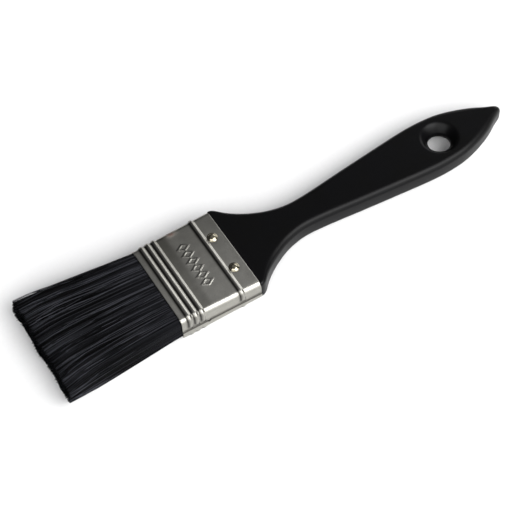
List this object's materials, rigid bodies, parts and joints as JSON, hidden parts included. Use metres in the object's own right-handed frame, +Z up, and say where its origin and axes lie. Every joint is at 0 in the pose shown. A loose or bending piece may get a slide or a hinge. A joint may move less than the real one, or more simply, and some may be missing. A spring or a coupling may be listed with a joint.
{
  "type": "flat paint brush",
  "caption": "Flat paint brush with a moulded beaver-tail handle, dished hanging hole, ribbed metal ferrule and flexible synthetic filament.",
  "frame": {"origin": "centre of the brush's box, on the surface it lies on", "axes": "+X along the brush towards the hanging hole, +Y across its width, +Z up out of the front face"},
  "size_m": [0.2064, 0.0468, 0.0128],
  "materials": {
    "handle_plastic": "satin moulded polypropylene",
    "ferrule_steel": "plated sheet, satin with bright pressed edges",
    "nail_steel": "polished, plated",
    "spacer_wood": "sawn",
    "setting_resin": "cast",
    "filament": "fine synthetic filament with a faint sheen"
  },
  "bodies": {
    "brush": {"handle": "handle_plastic", "ferrule": "ferrule_steel", "nail_front_left": "nail_steel", "nail_front_right": "nail_steel", "nail_back_left": "nail_steel", "nail_back_right": "nail_steel", "spacer_strip": "spacer_wood", "resin_plug": "setting_resin", "filament_root_front": "filament", "filament_root_back": "filament"},
    "filament_head": {"filament_head_front": "filament", "filament_head_back": "filament"}
  },
  "joints": [
    {"name": "filament_bend", "type": "hinge", "parent": "brush", "child": "filament_head", "pos_m": [-0.0624, 0, 0.00641], "axis": [0, 1, 0], "range_deg": [-40, 40], "stiffness_Nm_per_rad": 0.055}
  ]
}
